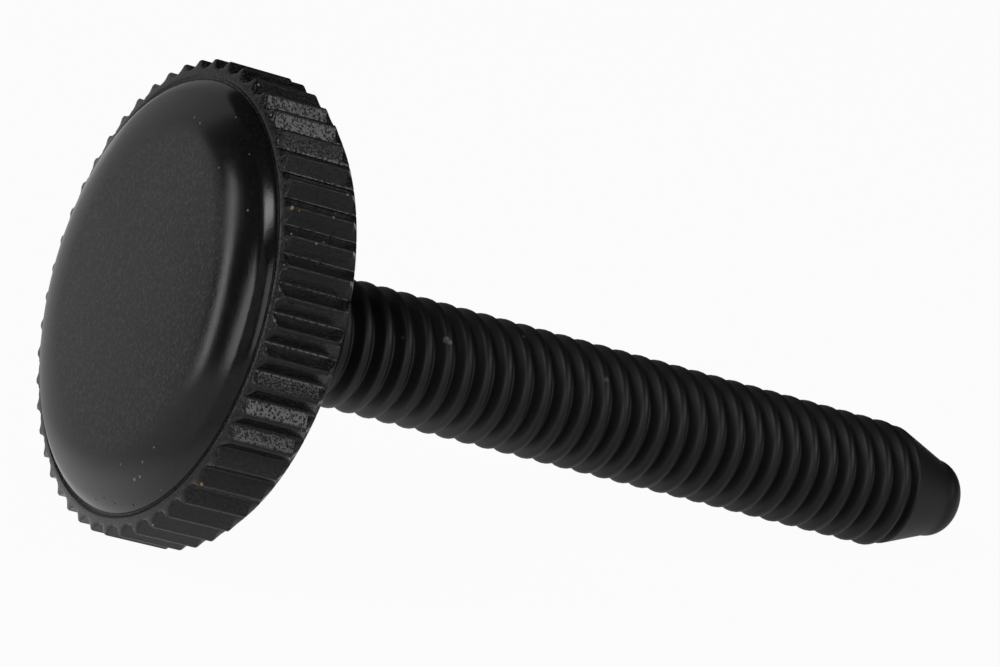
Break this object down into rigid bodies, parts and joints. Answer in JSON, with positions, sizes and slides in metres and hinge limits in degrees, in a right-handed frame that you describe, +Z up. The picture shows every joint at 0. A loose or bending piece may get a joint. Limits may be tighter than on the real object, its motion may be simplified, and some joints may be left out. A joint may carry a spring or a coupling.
{
  "type": "thumb screw",
  "caption": "Black painted thumb screw: a knurled round head with a low domed crown on a coarse threaded shank with a rounded cone point, turned by hand to clamp or fasten.",
  "frame": {"origin": "middle of the bounding box's bottom face, on the surface it lies on", "axes": "+X from the head towards the point, +Z up; the screw's own axis dips towards the point by 11.9 degrees"},
  "size_m": [0.06, 0.028, 0.0283],
  "materials": {
    "black_paint": "satin black paint with a fine leathery grain, chipped to brass at a few corners"
  },
  "bodies": {
    "root": {"thumb_screw": "black_paint"}
  },
  "joints": []
}
